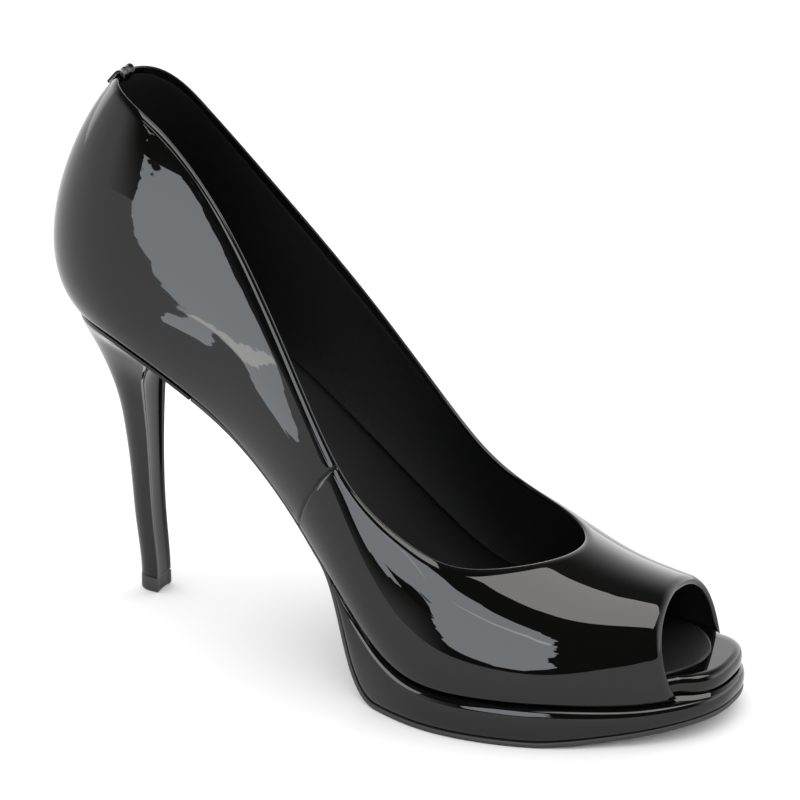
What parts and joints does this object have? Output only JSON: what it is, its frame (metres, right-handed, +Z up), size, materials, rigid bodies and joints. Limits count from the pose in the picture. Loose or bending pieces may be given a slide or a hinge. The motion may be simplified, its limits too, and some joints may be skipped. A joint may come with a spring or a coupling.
{
  "type": "peep toe pump",
  "caption": "Black patent leather peep toe pump for the left foot, with a slim stiletto heel and a thin wrapped platform.",
  "frame": {"origin": "on the floor, under the middle of the whole shoe's bounding box", "axes": "+X from the heel to the toe, +Y to the outer side of the left foot, +Z up"},
  "size_m": [0.2264, 0.0846, 0.1749],
  "materials": {
    "patent_leather": "high gloss",
    "insole_leather": "satin",
    "sole_rubber": "matte"
  },
  "bodies": {
    "root": {"outsole": "sole_rubber", "platform": "patent_leather", "insole": "insole_leather", "upper": "patent_leather", "heel": "patent_leather", "top_piece": "sole_rubber", "back_tab": "patent_leather"}
  },
  "joints": []
}
